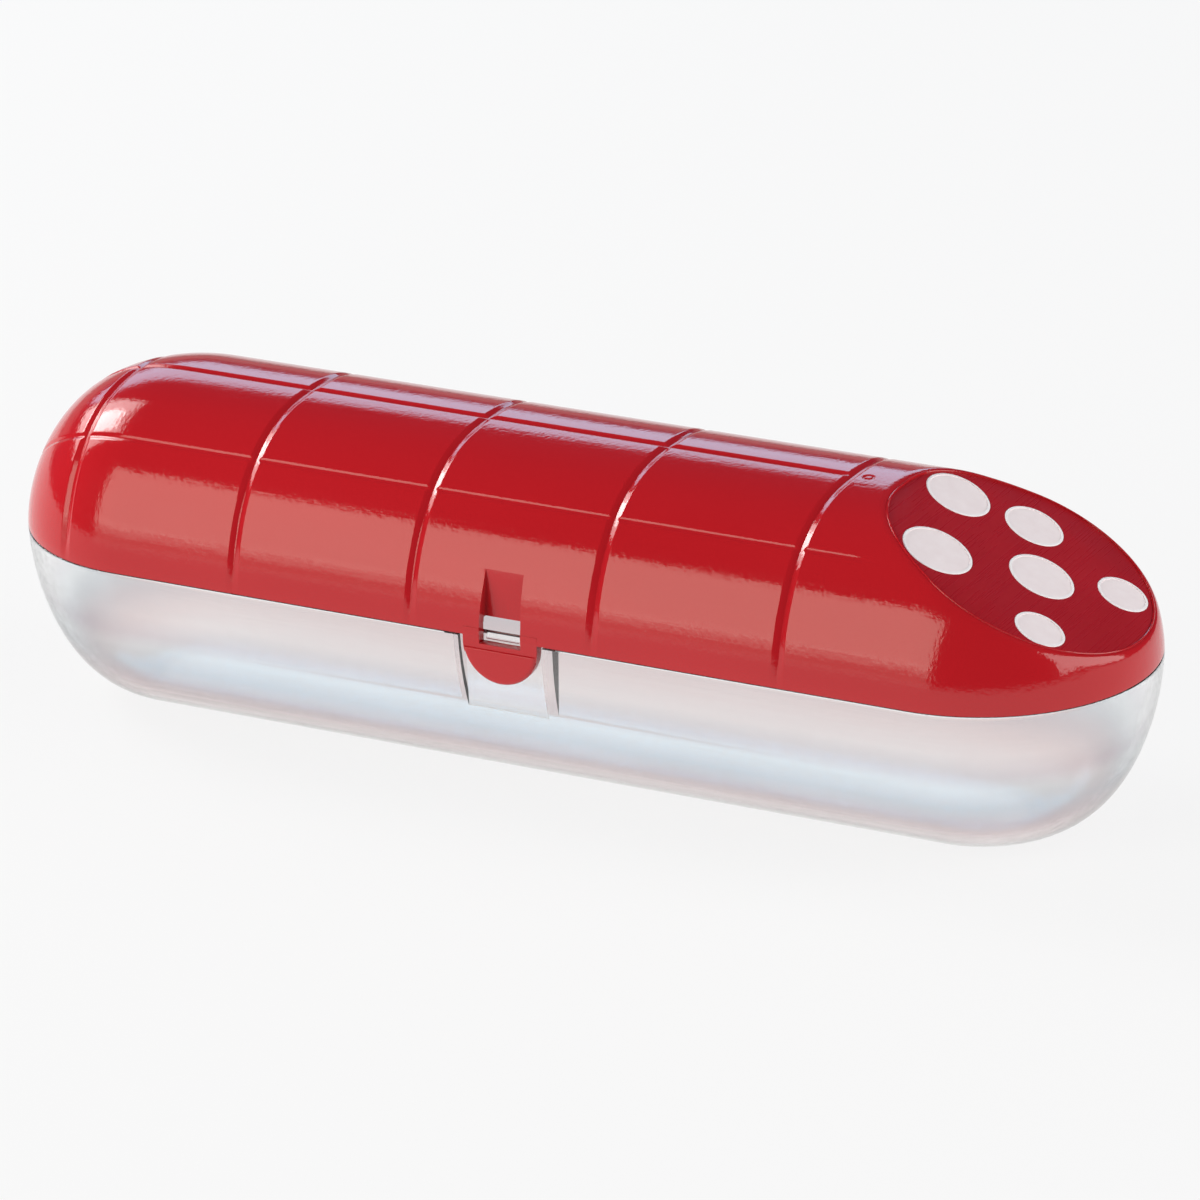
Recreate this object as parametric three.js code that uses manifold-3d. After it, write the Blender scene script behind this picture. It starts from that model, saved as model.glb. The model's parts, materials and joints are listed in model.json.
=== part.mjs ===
// A hinged sausage keeper: a red lid shaped like a net-tied salami with a slanted cut end, on a clear
// tray with round ends. Millimetres, +Z up, X along the case, the latch on the -Y side and the hinges
// on the +Y side. The origin is the middle of the flat bottom.
import * as THREE from "three";
import { mergeVertices } from "three/addons/utils/BufferGeometryUtils.js";
import Module from "manifold-3d";

const wasm = await Module();
wasm.setup();

// ---- Driving dimensions ----

// The plan is two half circles joined by straight sides. Heights count from the seam between the halves.
const CASE = { halfLength: 140, halfWidth: 40 };
CASE.halfSpine = CASE.halfLength - CASE.halfWidth;
const SEAM_HEIGHT = 41;
const SEAM_GAP = 0.3;
const BOOLEAN_GAP = 0.3;

// A shell's height falls from `height` at the spine to 0 at the rim as a superellipse of two powers.
const LID = { height: 36, flat: 0, widthPower: 2.7, heightPower: 1.73, wall: 2.3 };
const BASE = { height: SEAM_HEIGHT, flat: 10, widthPower: 2.47, heightPower: 1.75, wall: 2.4 };

// The base's inner wall goes on above the seam as a locating lip, which stops short of the latch.
const LIP = { outer: 38.6, height: 2.2, socketHeight: 2.8 };
const LIP_BREAK = { halfWidth: 14, depth: 30, floor: -0.3 };

const GROOVE = { radius: 1.35, proud: 0.35, taper: 5, sides: 6 };
const RINGS = { first: -114.2, pitch: 45.68, count: 5, endAngle: degrees(86) };
const LENGTHWISE = [
  { angle: 0, from: -139.2, to: 74.5 },
  { angle: degrees(44), from: -139.2, to: 87 },
  { angle: degrees(-44), from: -139.2, to: 87 },
];

// The cut leaves the crown line at `crownX` and falls towards +X.
const CUT = { crownX: 79.8, slope: degrees(25.6), wall: 3.6, rim: 1.2 };
const PLATE = { thickness: 1.4, inset: 0.2 };
// Each disc: distance down the slope from the crown edge, sideways place, and radius.
const DOTS = [
  { down: 11.1, side: 9.6, radius: 7.7 },
  { down: 18.2, side: -15.3, radius: 8.3 },
  { down: 28.2, side: 16.1, radius: 7.1 },
  { down: 38.4, side: -0.5, radius: 7.8 },
  { down: 47.4, side: -19.7, radius: 6 },
  { down: 53.8, side: 12.1, radius: 6.1 },
];
const DOT_GAP = 0.2;

// The latch: a window and a thumb tab in the lid's front wall, over a pocket and a catch in the base.
const WINDOW = { halfWidth: 5.2, top: 15.2, holeTop: 3.9, holeBottom: -1.5, backY: -36.4, wall: 2 };
const TAB = { halfWidth: 9.3, straight: 1.4, thickness: 2.3, proud: 0.4, padTop: -1.8 };
const POCKET = { topHalfWidth: 10.6, bottomHalfWidth: 10.1, backY: -36.6, bottom: -18.4, wall: 2 };
const CATCH = { halfWidth: 4.7, tipY: -37.4, top: 0.3, bottom: -1.2 };

// Two hinges, each a lid knuckle between two base lugs on one pin.
const HINGE = {
  stations: { left: -70, right: 70 },
  axisY: 43.2,
  barrel: 2.8,
  bore: 1.3,
  pin: 1,
  knuckle: 10,
  lug: 6,
  sideGap: 0.3,
  rootDepth: 8,
};

// Facets: around one end, up one profile, and around a round piece.
const END_STEPS = 22;
const PROFILE_STEPS = 12;
const ROUND_STEPS = 32;

// ---- Materials ----

const red = new THREE.MeshStandardMaterial({ color: 0xb41f25, roughness: 0.18, metalness: 0 });
const cutRed = new THREE.MeshStandardMaterial({ color: 0x9d2026, roughness: 0.5, metalness: 0 });
const white = new THREE.MeshStandardMaterial({ color: 0xebe2e1, roughness: 0.45, metalness: 0 });
const clear = new THREE.MeshStandardMaterial({ color: 0xe6edf2, roughness: 0.08, metalness: 0 });
const steel = new THREE.MeshStandardMaterial({ color: 0xc4c6c8, roughness: 0.3, metalness: 1 });
clear.transparent = true;
clear.opacity = 0.3;

// ---- Helpers ----

function degrees(angle) {
  return THREE.MathUtils.degToRad(angle);
}

// A closed geometry as a solid for joining and cutting.
function solid(geometry) {
  const bare = geometry.index ? geometry.toNonIndexed() : geometry.clone();
  bare.deleteAttribute("normal");
  bare.deleteAttribute("uv");
  const merged = mergeVertices(bare, 1e-4);
  const vertProperties = merged.attributes.position.array;
  const triVerts = new Uint32Array(merged.index.array);
  return new wasm.Manifold(new wasm.Mesh({ numProp: 3, vertProperties, triVerts }));
}

function namedMesh(name, body, material) {
  const { vertProperties, triVerts } = body.getMesh();
  const geometry = new THREE.BufferGeometry();
  geometry.setAttribute("position", new THREE.BufferAttribute(vertProperties, 3));
  geometry.setIndex(new THREE.BufferAttribute(triVerts, 1));
  geometry.computeVertexNormals();
  const mesh = new THREE.Mesh(geometry, material);
  mesh.name = name;
  return mesh;
}

// A block between two corners.
function block(low, high) {
  const size = high.map((value, i) => value - low[i]);
  const middle = high.map((value, i) => (value + low[i]) / 2);
  return solid(new THREE.BoxGeometry(...size).translate(...middle));
}

// An outline of [y, z] points, run along X.
function alongX(outline, fromX, toX) {
  const shape = new THREE.Shape(outline.map(([y, z]) => new THREE.Vector2(y, z)));
  const geometry = new THREE.ExtrudeGeometry(shape, { depth: toX - fromX, bevelEnabled: false });
  const turn = new THREE.Matrix4().makeBasis(
    new THREE.Vector3(0, 1, 0),
    new THREE.Vector3(0, 0, 1),
    new THREE.Vector3(1, 0, 0),
  );
  return solid(geometry.applyMatrix4(turn).translate(fromX, 0, 0));
}

// A Shape drawn in X and Z, run along Y.
function alongY(shape, fromY, toY) {
  const geometry = new THREE.ExtrudeGeometry(shape, {
    depth: toY - fromY,
    bevelEnabled: false,
    curveSegments: ROUND_STEPS / 2,
  });
  return solid(geometry.rotateX(Math.PI / 2).translate(0, toY, 0));
}

function cylinderAlongX(radius, fromX, toX, y, z) {
  const geometry = new THREE.CylinderGeometry(radius, radius, toX - fromX, ROUND_STEPS);
  return solid(geometry.rotateZ(Math.PI / 2).translate((fromX + toX) / 2, y, z));
}

// Profile points [distance from spine, height] from the spine to the rim, pulled in by `inward`. The
// wall is upright at the rim, which ends `rimHeight` from the seam.
function shellProfile(shell, inward, rimHeight) {
  const reach = CASE.halfWidth - shell.flat - inward;
  const height = shell.height - inward;
  const points = shell.flat ? [[0, height]] : [];
  for (let i = 0; i < PROFILE_STEPS; i += 1) {
    const t = (i / PROFILE_STEPS) * (Math.PI / 2);
    const across = Math.sin(t) ** (2 / shell.widthPower);
    const up = Math.cos(t) ** (2 / shell.heightPower);
    points.push([shell.flat + reach * across, height * up]);
  }
  points.push([shell.flat + reach, rimHeight]);
  return points;
}

// The solid swept by a profile of [distance, height] points around the spine. The profile starts and
// ends on the spine. The lid's profiles run down and the base's run up, so `direction` is 1 or -1.
function aroundSpine(profile, direction) {
  const stations = [];
  for (const side of [1, -1]) {
    for (let i = 0; i <= END_STEPS; i += 1) {
      const angle = (i / END_STEPS - 0.5) * Math.PI + (side > 0 ? 0 : Math.PI);
      stations.push({ x: side * CASE.halfSpine, along: Math.cos(angle), across: Math.sin(angle) });
    }
  }
  const rings = profile.map(([distance, height]) =>
    stations.map((s) => new THREE.Vector3(s.x + distance * s.along, distance * s.across, height)),
  );
  const corners = [];
  const triangle = (a, b, c) => {
    const flat = Math.min(a.distanceTo(b), b.distanceTo(c), c.distanceTo(a)) < 1e-3;
    if (!flat) corners.push(...a.toArray(), ...b.toArray(), ...c.toArray());
  };
  for (let row = 0; row + 1 < rings.length; row += 1) {
    for (let i = 0; i < stations.length; i += 1) {
      const next = (i + 1) % stations.length;
      const [a, b] = [rings[row][i], rings[row][next]];
      const [c, d] = [rings[row + 1][i], rings[row + 1][next]];
      if (direction > 0) {
        triangle(a, c, d);
        triangle(a, d, b);
      } else {
        triangle(a, d, c);
        triangle(a, b, d);
      }
    }
  }
  const geometry = new THREE.BufferGeometry();
  geometry.setAttribute("position", new THREE.Float32BufferAttribute(corners, 3));
  return solid(geometry);
}

// The lid's dome (direction 1) or the base's bowl (-1), closed at the seam by further points, whose
// heights count away from the shell: below the seam for the lid, above it for the base.
function bowl(shell, inward, rimHeight, closing, direction) {
  const further = closing.map(([distance, height]) => [distance, -height]);
  const profile = [...shellProfile(shell, inward, rimHeight), ...further];
  return aroundSpine(
    profile.map(([distance, height]) => [distance, direction * height]),
    direction,
  );
}

// How far the lid's outer surface is from the X axis, at place x and angle from straight up.
function lidRadius(x, angle) {
  const beyond = Math.max(Math.abs(x) - CASE.halfSpine, 0);
  let inside = 0;
  let outside = CASE.halfWidth + LID.height;
  for (let i = 0; i < 40; i += 1) {
    const radius = (inside + outside) / 2;
    const distance = Math.hypot(beyond, radius * Math.sin(angle));
    const height = radius * Math.cos(angle);
    const level =
      (distance / CASE.halfWidth) ** LID.widthPower + (height / LID.height) ** LID.heightPower;
    if (level < 1) inside = radius;
    else outside = radius;
  }
  return inside;
}

// ---- Grooves ----

// A curve on the lid's surface, standing a little proud and lifting clear of it at both ends.
class SurfaceCurve extends THREE.Curve {
  constructor(place, start, end, length) {
    super();
    Object.assign(this, { place, start, end, length });
  }

  getPoint(t, target = new THREE.Vector3()) {
    const { x, angle } = this.place(this.start + (this.end - this.start) * t);
    const fromEnd = Math.min(t, 1 - t) * this.length;
    const fade = 1 - THREE.MathUtils.smoothstep(fromEnd, 0, GROOVE.taper);
    const radius = lidRadius(x, angle) + GROOVE.proud + fade * GROOVE.radius;
    return target.set(x, radius * Math.sin(angle), radius * Math.cos(angle));
  }
}

function grooveCutter(curve, steps) {
  const section = new THREE.Shape();
  section.absarc(0, 0, GROOVE.radius, 0, 2 * Math.PI);
  const geometry = new THREE.ExtrudeGeometry(section, {
    steps,
    extrudePath: curve,
    bevelEnabled: false,
    curveSegments: GROOVE.sides / 2,
  });
  return solid(geometry);
}

function ringGroove(index) {
  const x = RINGS.first + index * RINGS.pitch;
  const place = (angle) => ({ x, angle });
  const length = 2 * RINGS.endAngle * CASE.halfWidth;
  return grooveCutter(new SurfaceCurve(place, -RINGS.endAngle, RINGS.endAngle, length), 30);
}

function lengthwiseGroove({ angle, from, to }) {
  const place = (x) => ({ x, angle });
  return grooveCutter(new SurfaceCurve(place, from, to, to - from), 44);
}

// ---- The slanted end ----

// Moves a solid from the cut's own frame to the case's: X down the slope, Z out of the cut face.
function placeOnCut(body) {
  return body.rotate([0, THREE.MathUtils.radToDeg(CUT.slope), 0]).translate([CUT.crownX, 0, LID.height]);
}

// Everything within the case's reach that lies above the cut plane moved down by `depth`.
function aboveCut(depth) {
  const reach = 2 * CASE.halfLength;
  return placeOnCut(block([-reach, -reach, -depth], [reach, reach, reach]));
}

// Half the width of the cut face at a distance down the slope.
function cutHalfWidth(down) {
  const x = CUT.crownX + down * Math.cos(CUT.slope);
  const height = Math.max(LID.height - down * Math.sin(CUT.slope), 0);
  const level = 1 - (height / LID.height) ** LID.heightPower;
  const distance = CASE.halfWidth * level ** (1 / LID.widthPower);
  const beyond = Math.max(x - CASE.halfSpine, 0);
  return Math.sqrt(Math.max(distance ** 2 - beyond ** 2, 0));
}

// The length of the cut face down the slope, found where its width closes at the round end.
function cutLength() {
  let open = CASE.halfWidth;
  let closed = 2 * CASE.halfWidth;
  for (let i = 0; i < 40; i += 1) {
    const down = (open + closed) / 2;
    if (cutHalfWidth(down) > 0) open = down;
    else closed = down;
  }
  return open;
}

// The cut face's outline moved inwards by `inward`, in the cut's own frame.
function cutOutline(inward) {
  const length = cutLength();
  const edge = [];
  for (let i = 0; i <= 2 * END_STEPS; i += 1) {
    const turn = (i / END_STEPS) * Math.PI;
    const down = (length * (1 - Math.cos(turn))) / 2;
    const side = i < END_STEPS ? -1 : 1;
    edge.push(new THREE.Vector2(down, side * cutHalfWidth(down)));
  }
  edge.pop();
  const moved = edge.map((point, i) => {
    const before = edge[(i + edge.length - 1) % edge.length];
    const after = edge[(i + 1) % edge.length];
    const along = after.clone().sub(before).normalize();
    return new THREE.Vector2(point.x - inward * along.y, point.y + inward * along.x);
  });
  return new THREE.Shape(moved);
}

// The cut face's outline as a slab between two depths below the cut plane.
function cutSlab(inward, deep, shallow) {
  const geometry = new THREE.ExtrudeGeometry(cutOutline(inward), {
    depth: deep - shallow,
    bevelEnabled: false,
  });
  return solid(geometry.translate(0, 0, -deep));
}

function disc(dot, radius, deep, shallow) {
  const geometry = new THREE.CylinderGeometry(radius, radius, deep - shallow, ROUND_STEPS);
  return solid(geometry.rotateX(Math.PI / 2).translate(dot.down, dot.side, -(deep + shallow) / 2));
}

const plateTop = PLATE.inset;
const plateBottom = PLATE.inset + PLATE.thickness;

function cutFacePlate() {
  let plate = cutSlab(CUT.rim, plateBottom, plateTop);
  for (const dot of DOTS) {
    plate = plate.subtract(disc(dot, dot.radius + DOT_GAP, plateBottom + 1, -1));
  }
  return placeOnCut(plate);
}

// ---- The latch ----

// A tongue with straight sides that end in a half circle, and a thumb pad that stands a little proud.
function thumbTab() {
  const { halfWidth, straight, thickness, proud, padTop } = TAB;
  const face = -CASE.halfWidth;
  const tongue = new THREE.Shape();
  tongue.absarc(0, -straight, halfWidth, Math.PI, 2 * Math.PI);
  tongue.lineTo(halfWidth, SEAM_GAP);
  tongue.lineTo(-halfWidth, SEAM_GAP);
  const abovePad = block([-2 * halfWidth, face - 1, padTop], [2 * halfWidth, face, 1]);
  return alongY(tongue, face - proud, face + thickness).subtract(abovePad);
}

function windowCut() {
  const { halfWidth, top, backY, holeTop, holeBottom } = WINDOW;
  const front = -CASE.halfWidth - 1;
  const recess = block([-halfWidth, front, holeBottom], [halfWidth, backY, top]);
  const hole = block([-halfWidth, front, holeBottom], [halfWidth, backY + 2 * WINDOW.wall, holeTop]);
  return recess.add(hole);
}

function windowBacking() {
  const { halfWidth, top, backY, holeTop, wall } = WINDOW;
  return block([-halfWidth - wall, backY - wall, holeTop], [halfWidth + wall, backY + wall, top + wall]);
}

// Keeps the lid's wall whole behind the tab, where the lip's socket stops.
function tabBacking() {
  const halfWidth = TAB.halfWidth + 2;
  const inner = -CASE.halfWidth + TAB.thickness;
  return block([-halfWidth, inner - 3, -2], [halfWidth, inner, LIP.socketHeight + 1]);
}

// The pocket's outline seen from the front, wider by `grow` all round, up to height `top`.
function pocketPrism(grow, backY, top) {
  const shape = new THREE.Shape();
  shape.moveTo(POCKET.topHalfWidth + grow, top);
  shape.lineTo(-POCKET.topHalfWidth - grow, top);
  shape.lineTo(-POCKET.bottomHalfWidth - grow, POCKET.bottom - 1.5 * grow);
  shape.lineTo(POCKET.bottomHalfWidth + grow, POCKET.bottom - 1.5 * grow);
  return alongY(shape, -CASE.halfWidth - 1, backY);
}

// A wedge on the pocket's back wall, sloped on top so that the lid rides over it.
function catchNose() {
  const root = POCKET.backY + 0.5;
  const outline = [
    [root, CATCH.bottom],
    [root, CATCH.top],
    [POCKET.backY, CATCH.top],
    [CATCH.tipY, CATCH.bottom + 0.5],
    [CATCH.tipY, CATCH.bottom],
  ];
  return alongX(outline, -CATCH.halfWidth, CATCH.halfWidth);
}

// ---- The hinges ----

// A barrel on the hinge axis with a web to the case wall, above the seam (1) or below it (-1).
function hingeEar(fromX, toX, direction) {
  const wallY = CASE.halfWidth - 1;
  const reach = HINGE.barrel * Math.SQRT1_2;
  const outline = [
    [wallY, direction * 0.5],
    [HINGE.axisY, direction * 0.5],
    [HINGE.axisY + reach, direction * reach],
    [HINGE.axisY, direction * HINGE.barrel * Math.SQRT2],
    [wallY, direction * HINGE.rootDepth],
  ];
  const web = alongX(outline, fromX, toX);
  return web.add(cylinderAlongX(HINGE.barrel, fromX, toX, HINGE.axisY, 0));
}

// The stretches of X that one hinge's parts take.
function hingeSpans(centre) {
  const inner = HINGE.knuckle / 2;
  const start = inner + HINGE.sideGap;
  const end = start + HINGE.lug;
  return {
    knuckle: [centre - inner, centre + inner],
    lugs: [
      [centre - end, centre - start],
      [centre + start, centre + end],
    ],
    pin: [centre - end, centre + end],
  };
}

function hingeBore([fromX, toX]) {
  return cylinderAlongX(HINGE.bore, fromX - 1, toX + 1, HINGE.axisY, 0);
}

// ---- The two shells ----

function baseShell() {
  const above = LIP.height + 1;
  const lipTop = [
    [LIP.outer, -SEAM_GAP / 2],
    [LIP.outer, LIP.height],
    [0, LIP.height],
  ];
  const outer = bowl(BASE, 0, SEAM_GAP / 2, lipTop, -1);
  const cavity = bowl(BASE, BASE.wall, -above, [[0, above]], -1);
  const bump = pocketPrism(POCKET.wall, POCKET.backY + POCKET.wall, above + 1);
  const { halfWidth, depth, floor } = LIP_BREAK;
  const lipBreak = block([-halfWidth, -CASE.halfWidth - 1, floor], [halfWidth, -depth, above + 2]);

  let shell = outer.subtract(cavity.subtract(bump));
  shell = shell.subtract(pocketPrism(0, POCKET.backY, above)).subtract(lipBreak).add(catchNose());
  for (const centre of Object.values(HINGE.stations)) {
    const spans = hingeSpans(centre);
    for (const span of spans.lugs) shell = shell.add(hingeEar(...span, -1));
    shell = shell.subtract(hingeBore(spans.pin));
  }
  return shell;
}

function lidShell() {
  const socket = [
    [LIP.outer + BOOLEAN_GAP, -LIP.socketHeight],
    [LIP.outer + BOOLEAN_GAP, 1],
    [0, 1],
  ];
  const outer = bowl(LID, 0, SEAM_GAP / 2, [[0, -SEAM_GAP / 2]], 1).subtract(aboveCut(0));
  const room = bowl(LID, LID.wall, LIP.socketHeight, socket, 1).subtract(aboveCut(CUT.wall));
  const plateSeat = cutSlab(CUT.rim - BOOLEAN_GAP, plateBottom + BOOLEAN_GAP, -1);

  let shell = outer.subtract(room.subtract(windowBacking()).subtract(tabBacking()));
  for (let i = 0; i < RINGS.count; i += 1) shell = shell.subtract(ringGroove(i));
  for (const groove of LENGTHWISE) shell = shell.subtract(lengthwiseGroove(groove));
  shell = shell.subtract(placeOnCut(plateSeat)).add(thumbTab()).subtract(windowCut());
  for (const centre of Object.values(HINGE.stations)) {
    const { knuckle } = hingeSpans(centre);
    shell = shell.add(hingeEar(...knuckle, 1)).subtract(hingeBore(knuckle));
  }
  return shell;
}

// ---- The case ----

const keeper = new THREE.Group();
const seam = new THREE.Group();
seam.position.z = SEAM_HEIGHT;
keeper.add(seam);

seam.add(namedMesh("base_shell", baseShell(), clear));
seam.add(namedMesh("lid_shell", lidShell(), red));
seam.add(namedMesh("cut_face_plate", cutFacePlate(), cutRed));
DOTS.forEach((dot, i) => {
  const body = placeOnCut(disc(dot, dot.radius, plateBottom, plateTop));
  seam.add(namedMesh(`fat_dot_${i + 1}`, body, white));
});
for (const [side, centre] of Object.entries(HINGE.stations)) {
  const { pin } = hingeSpans(centre);
  const body = cylinderAlongX(HINGE.pin, ...pin, HINGE.axisY, 0);
  seam.add(namedMesh(`hinge_pin_${side}`, body, steel));
}

export default keeper;
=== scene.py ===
"""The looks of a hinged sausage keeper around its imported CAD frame. The frame is in metres, +Z up, with X
along the case, the latch on the -Y side and the hinges on the +Y side. Shapes are worked out here in
millimetres with heights counted from the seam, and become metres when a mesh is made."""
import json
import math

import bmesh
import bpy
import numpy as np
from mathutils import Matrix, Vector


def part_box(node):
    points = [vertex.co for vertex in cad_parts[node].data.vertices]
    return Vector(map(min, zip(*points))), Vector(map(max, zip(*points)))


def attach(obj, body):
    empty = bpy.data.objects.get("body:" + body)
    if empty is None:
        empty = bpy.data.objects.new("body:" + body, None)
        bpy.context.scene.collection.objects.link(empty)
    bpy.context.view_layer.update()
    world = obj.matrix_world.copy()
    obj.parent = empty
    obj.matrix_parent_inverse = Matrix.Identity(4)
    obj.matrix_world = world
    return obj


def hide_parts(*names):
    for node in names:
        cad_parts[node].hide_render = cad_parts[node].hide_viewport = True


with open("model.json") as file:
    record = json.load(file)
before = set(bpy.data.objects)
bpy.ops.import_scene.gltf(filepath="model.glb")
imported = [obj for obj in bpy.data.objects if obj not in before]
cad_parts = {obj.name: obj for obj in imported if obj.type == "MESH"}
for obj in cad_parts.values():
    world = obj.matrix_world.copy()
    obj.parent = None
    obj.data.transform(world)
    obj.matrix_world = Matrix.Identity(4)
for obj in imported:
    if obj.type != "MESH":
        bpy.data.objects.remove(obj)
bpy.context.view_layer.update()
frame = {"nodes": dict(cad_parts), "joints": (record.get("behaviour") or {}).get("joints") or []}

MM = 0.001

# ---- Sizes taken from the frame ----


def box_mm(node):
    """The lowest and highest corner of a CAD node, in millimetres."""
    return [np.array(corner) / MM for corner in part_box(node)]


HINGE_JOINT = frame["joints"][0]
SEAM = HINGE_JOINT["pos_m"][2] / MM
HINGE_Y = HINGE_JOINT["pos_m"][1] / MM
BASE_LOW, BASE_HIGH = box_mm("base_shell")
LID_HIGH = box_mm("lid_shell")[1]
DISC_NODES = sorted(name for name in frame["nodes"] if name.startswith("fat_dot_"))
PIN_NODES = sorted(name for name in frame["nodes"] if name.startswith("hinge_pin_"))

HALF_LENGTH = BASE_HIGH[0]
HALF_WIDTH = -BASE_LOW[1]
HALF_SPINE = HALF_LENGTH - HALF_WIDTH

# ---- Further sizes, in millimetres and degrees ----

# A shell's height falls from `height` at the spine to 0 at the seam as a superellipse of two powers.
LID = {"height": LID_HIGH[2] - SEAM, "flat": 0, "width_power": 2.7, "height_power": 1.73}
BASE = {"height": SEAM, "flat": 10, "width_power": 2.47, "height_power": 1.75}
LID_WALL = 2.3
BASE_WALL = 2.4
HALF_GAP = 0.06
EDGE = 0.22

LIP = {"outer": 38.6, "height": 2.2, "edge": 0.3}
SOCKET = {"outer": 38.9, "height": 2.8}
LIP_BREAK = {"half_width": 14, "depth": 30, "floor": -0.3}

RINGS = {"first": -114.2, "pitch": 45.68, "count": 5, "end_angle": 89.5, "half_width": 1.5, "depth": 0.56,
         "taper": 5}
GROOVE_POWER = 1.08
LENGTHWISE = [
    {"angle": 0, "start": -139.2, "end": 70, "half_width": 1.2, "depth": 0.55},
    {"angle": 44, "start": -139.2, "end": 87, "half_width": 0.85, "depth": 0.28},
    {"angle": -44, "start": -139.2, "end": 87, "half_width": 0.85, "depth": 0.28},
]
GATE_MARK = {"x": 72.4, "radius": 1.1, "half_width": 0.35, "depth": 0.22}

CUT = {"crown_x": 79.8, "slope": math.radians(25.6), "wall": 3.6}
ROUNDING = {"outside": 2.2, "inside": 0.75, "least_lean": 0.3, "most_of_gap": 0.6}
BEAD = {"start": 0.8, "width": 0.5, "height": 0.26, "ditch": 0.07}
PLATE = {"thickness": 1.4, "inset": 0.12, "edge_gap": 0.03, "rim": 1.2, "bevel": 0.1}
DISC = {"proud": 0.1, "bevel": 0.3, "gap": 0.02, "ring": 0.7, "dish": 0.16, "dish_margin": 0.05}

WINDOW = {"half_width": 5.2, "top_half": 4.75, "top": 15.2, "hole_top": 3.9, "hole_bottom": -1.5,
          "back_y": -36.4, "wall": 2, "backing_above": 0.6}
TAB = {"half_width": 9.3, "straight": 1.4, "thickness": 2.3, "proud": 0.4, "pad_top": -2.5, "rounding": 1.0,
       "root": 2, "overlap_angle": 9, "pad_back": 0.05, "backing_side": 2, "backing_depth": 1.2}
POCKET = {"top_half": 10.6, "bottom_half": 10.1, "back_y": -36.6, "bottom": -18.4, "wall": 2,
          "floor_growth": 1.5}
CATCH = {"half_width": 4.7, "tip_y": -37.4, "top": 0.3, "bottom": -1.2, "root": 0.5, "tip_height": 0.5}
HINGE = {"barrel": 2.8, "bore": 1.15, "knuckle": 10, "side_gap": 0.3, "root_depth": 8, "bevel": 0.3,
         "pin_bevel": 0.25, "web_sunk": 1, "web_gap": 0.5}

# How far apart faces of joined solids are kept where they would otherwise coincide.
FACE_STEP = 0.02
# How far a cutting solid reaches past what it cuts, and the rounding of one that cuts sharp edges.
OVERREACH = 1
SHARP = 0.01
# How often a search for a point of a surface halves its range.
HALVINGS = 45
# The turn, in degrees, beyond which an edge of a small part stays sharp.
SMALL_PART_ANGLE = 50

# ---- Mesh helpers ----


def mesh_object(name, points, faces):
    """An object from points in millimetres with heights counted from the seam."""
    points = (np.asarray(points, float) + [0, 0, SEAM]) * MM
    mesh = bpy.data.meshes.new(name)
    mesh.from_pydata(points.tolist(), [], faces)
    made = bpy.data.objects.new(name, mesh)
    bpy.context.scene.collection.objects.link(made)
    return made


def face_outwards(made):
    """Merges doubled points and turns every face of a closed mesh outwards."""
    shape = bmesh.new()
    shape.from_mesh(made.data)
    bmesh.ops.remove_doubles(shape, verts=shape.verts, dist=1e-7)
    bmesh.ops.recalc_face_normals(shape, faces=shape.faces)
    shape.to_mesh(made.data)
    shape.free()
    return made


def settle_modifiers(made):
    """Replaces an object's mesh with what its modifiers make of it."""
    depsgraph = bpy.context.evaluated_depsgraph_get()
    result = bpy.data.meshes.new_from_object(made.evaluated_get(depsgraph))
    made.modifiers.clear()
    made.data = result
    return made


def combine(made, tool, operation):
    """Cuts `tool` from `made` (DIFFERENCE) or joins it on (UNION), and removes the tool."""
    modifier = made.modifiers.new("combine", "BOOLEAN")
    modifier.operation = operation
    modifier.solver = "MANIFOLD"
    modifier.object = tool
    settle_modifiers(made)
    bpy.data.objects.remove(tool)
    return made


def bevelled(made, width, angle=40):
    """Rounds the edges of a small part that turn by more than `angle` degrees."""
    modifier = made.modifiers.new("bevel", "BEVEL")
    modifier.width = width * MM
    modifier.segments = 3
    modifier.limit_method = "ANGLE"
    modifier.angle_limit = math.radians(angle)
    return settle_modifiers(made)


def smooth(made, angle=32):
    """Shades smoothly, with edges that turn by more than `angle` degrees kept sharp."""
    made.data.polygons.foreach_set("use_smooth", [True] * len(made.data.polygons))
    made.data.set_sharp_from_angle(angle=math.radians(angle))
    return made


def block(name, low, high):
    corners = [(x, y, z) for x in (low[0], high[0]) for y in (low[1], high[1]) for z in (low[2], high[2])]
    faces = [(0, 1, 3, 2), (4, 6, 7, 5), (0, 4, 5, 1), (2, 3, 7, 6), (0, 2, 6, 4), (1, 5, 7, 3)]
    return mesh_object(name, corners, faces)


def prism(name, outline, axis, start, end):
    """An outline of 2-D points run along `axis`: (y, z) points along X, or (x, z) points along Y."""
    def place(point, along):
        return (along, *point) if axis == "x" else (point[0], along, point[1])

    count = len(outline)
    points = [place(p, start) for p in outline] + [place(p, end) for p in outline]
    sides = [(i, (i + 1) % count, count + (i + 1) % count, count + i) for i in range(count)]
    caps = [tuple(range(count)), tuple(range(2 * count - 1, count - 1, -1))]
    return face_outwards(mesh_object(name, points, sides + caps))


def arc(centre, radius, start, end, steps):
    """Points on a circle from angle `start` to `end`, in degrees."""
    angles = np.radians(np.linspace(start, end, steps + 1))
    return [(centre[0] + radius * math.cos(a), centre[1] + radius * math.sin(a)) for a in angles]


def strip(first, second, closed=False):
    """Quads between two rows of point numbers."""
    count = len(first)
    pairs = [(i, (i + 1) % count) for i in range(count if closed else count - 1)]
    quads = [(first[i], first[j], second[j], second[i]) for i, j in pairs]
    return [tuple(dict.fromkeys(quad)) for quad in quads if len(set(quad)) > 2]


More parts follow.
